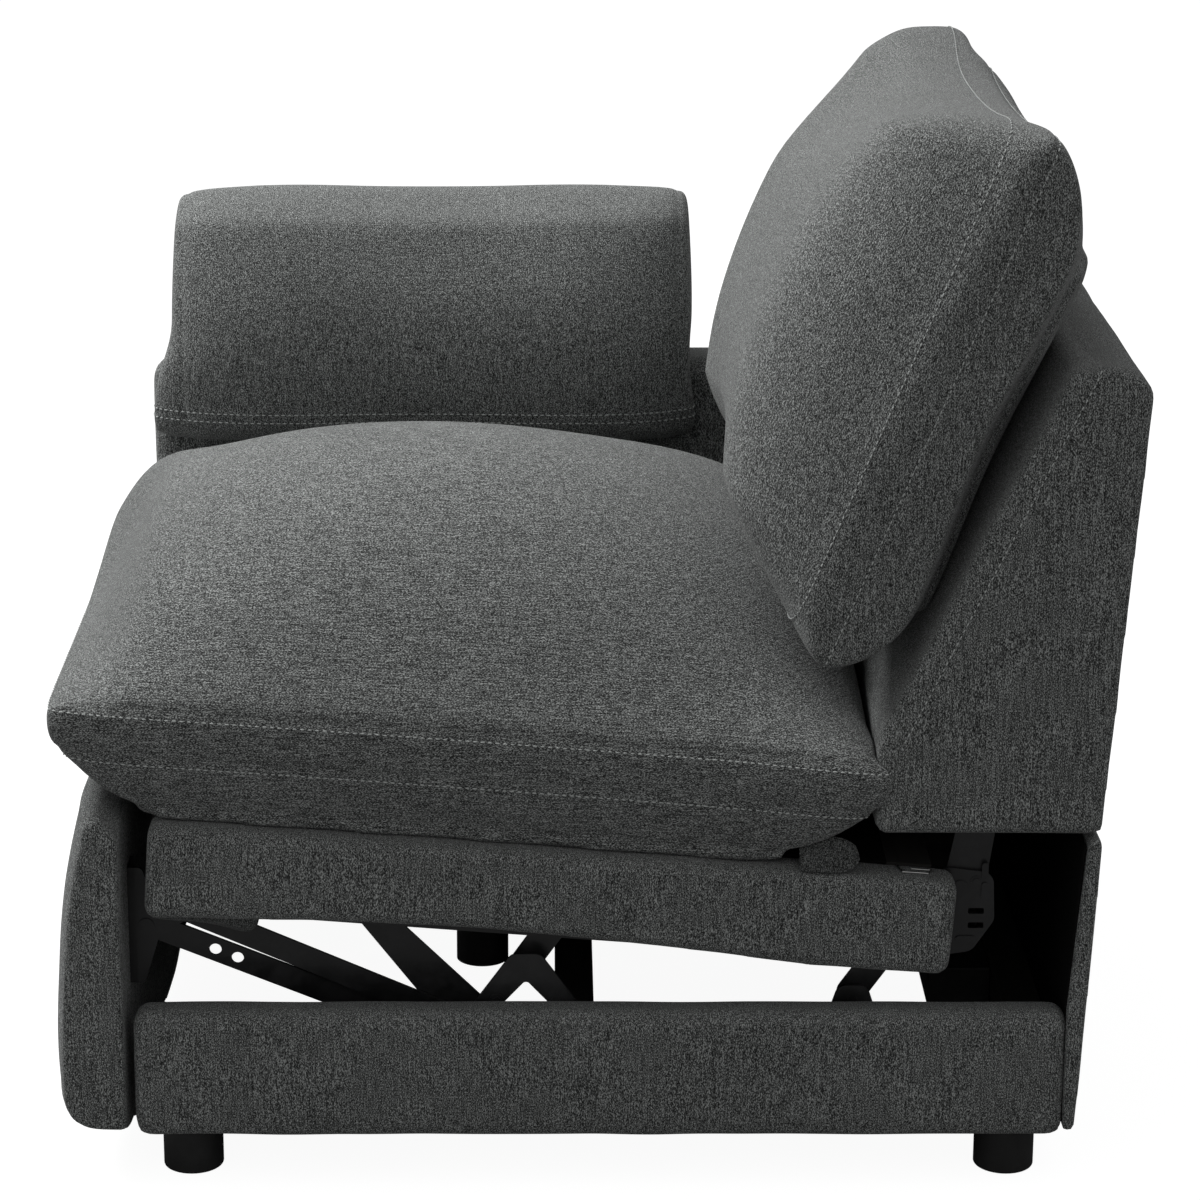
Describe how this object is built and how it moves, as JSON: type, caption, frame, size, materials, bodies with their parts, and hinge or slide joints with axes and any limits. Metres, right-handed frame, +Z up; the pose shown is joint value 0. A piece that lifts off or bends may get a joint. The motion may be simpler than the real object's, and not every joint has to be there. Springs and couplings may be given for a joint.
{
  "type": "modular power recliner",
  "caption": "Upholstered power recliner module with an arm and pillow on one side, a fold-out footrest, a seat that glides forward and a back that reclines.",
  "frame": {"origin": "on the floor under the middle of the overall box", "axes": "+Z up, -Y the way the sitter faces, -X the side with the arm"},
  "size_m": [0.8665, 0.9409, 0.9506],
  "materials": {
    "upholstery": "charcoal heathered weave",
    "deck_cloth": "black non-woven cloth",
    "frame_wood": "black stained plywood and softwood",
    "black_steel": "black enamel",
    "bright_steel": "zinc plated",
    "black_plastic": "matte moulded"
  },
  "bodies": {
    "base": {"feet": "black_plastic", "base_rail_near": "upholstery", "base_rail_far": "frame_wood", "middle_stretcher": "frame_wood", "rear_stretcher": "frame_wood", "rear_panel": "upholstery", "base_brackets": "black_steel", "base_pivot_pins": "black_steel", "control_box": "black_plastic", "power_inlet": "black_plastic", "arm_frame": "upholstery", "arm_pillow": "upholstery", "control_panel": "black_plastic"},
    "swing_front": {"swing_links_front": "black_steel"},
    "swing_rear": {"swing_links_rear": "black_steel"},
    "seat": {"seat_rail_near": "upholstery", "seat_rail_far": "upholstery", "seat_front_rail": "frame_wood", "seat_rear_rail": "frame_wood", "seat_deck": "deck_cloth", "seat_springs": "bright_steel", "seat_cushion": "upholstery", "mechanism_side_plates": "black_steel", "seat_pivot_pins": "black_steel", "seat_cross_tubes": "black_steel", "actuator_track": "black_steel", "actuator_screw": "bright_steel", "actuator_motor": "black_plastic", "actuator_hangers": "black_steel", "spring_clip": "bright_steel"},
    "rear_links": {"footrest_rear_links": "black_steel", "rear_link_pins": "black_steel", "torque_tube": "black_steel"},
    "front_links": {"footrest_front_links": "black_steel"},
    "guide_links": {"footrest_guide_links": "black_steel"},
    "footrest": {"footrest_brackets": "black_steel", "footrest_bracket_pins": "black_steel", "footrest_board": "frame_wood", "footrest_pad": "upholstery"},
    "slider": {"actuator_slider": "black_plastic"},
    "back": {"back_wing_near": "upholstery", "back_wing_far": "upholstery", "back_rear_panel": "upholstery", "back_lower_panel": "upholstery", "back_front_panel": "upholstery", "back_top_rail": "upholstery", "back_posts": "frame_wood", "back_brackets": "black_steel", "back_cushion": "upholstery"},
    "button_open": {"button_open": "black_plastic"},
    "button_close": {"button_close": "black_plastic"}
  },
  "joints": [
    {"name": "seat_glide", "type": "hinge", "parent": "base", "child": "swing_front", "pos_m": [0.109, -0.056, 0.19], "axis": [1, 0, 0], "range_deg": [0, 70]},
    {"name": "swing_rear_turn", "type": "hinge", "parent": "base", "child": "swing_rear", "pos_m": [0.109, 0.2355, 0.16007], "axis": [1, 0, 0], "range_deg": [0, 70]},
    {"name": "seat_level", "type": "hinge", "parent": "swing_front", "child": "seat", "pos_m": [0.109, -0.0015, 0.268], "axis": [1, 0, 0], "range_deg": [-70, 0]},
    {"name": "back_recline", "type": "hinge", "parent": "seat", "child": "back", "pos_m": [0.109, 0.33, 0.26207], "axis": [-1, 0, 0], "range_deg": [0, 36]},
    {"name": "footrest_lift", "type": "hinge", "parent": "seat", "child": "rear_links", "pos_m": [0.109, -0.204, 0.241], "axis": [-1, 0, 0], "range_deg": [0, 103]},
    {"name": "front_link_unfold", "type": "hinge", "parent": "rear_links", "child": "front_links", "pos_m": [0.109, -0.092, 0.095], "axis": [-1, 0, 0], "range_deg": [-96, 0]},
    {"name": "guide_link_unfold", "type": "hinge", "parent": "rear_links", "child": "guide_links", "pos_m": [0.109, -0.0754, 0.1128], "axis": [-1, 0, 0], "range_deg": [-97.6, 0]},
    {"name": "footrest_level", "type": "hinge", "parent": "front_links", "child": "footrest", "pos_m": [0.109, -0.396, 0.22], "axis": [-1, 0, 0], "range_deg": [0, 77]},
    {"name": "actuator_stroke", "type": "slide", "parent": "seat", "child": "slider", "axis": [0, -1, 0], "range_m": [0, 0.0941]},
    {"name": "open_press", "type": "slide", "parent": "base", "child": "button_open", "axis": [1, 0, 0], "range_m": [0, 0.0018], "stiffness_N_per_m": 500, "springref_m": -0.002},
    {"name": "close_press", "type": "slide", "parent": "base", "child": "button_close", "axis": [1, 0, 0], "range_m": [0, 0.0018], "stiffness_N_per_m": 500, "springref_m": -0.002}
  ],
  "couplings": [
    {"joint": "swing_rear_turn", "follows": "seat_glide", "ratio": 1},
    {"joint": "seat_level", "follows": "seat_glide", "ratio": -1},
    {"joint": "back_recline", "follows": "seat_glide", "ratio": 0.51429},
    {"joint": "front_link_unfold", "follows": "footrest_lift", "ratio": -0.93204},
    {"joint": "guide_link_unfold", "follows": "footrest_lift", "ratio": -0.94757},
    {"joint": "footrest_level", "follows": "footrest_lift", "ratio": 0.74757},
    {"joint": "actuator_stroke", "follows": "footrest_lift", "m_per_rad": 0.05229}
  ]
}
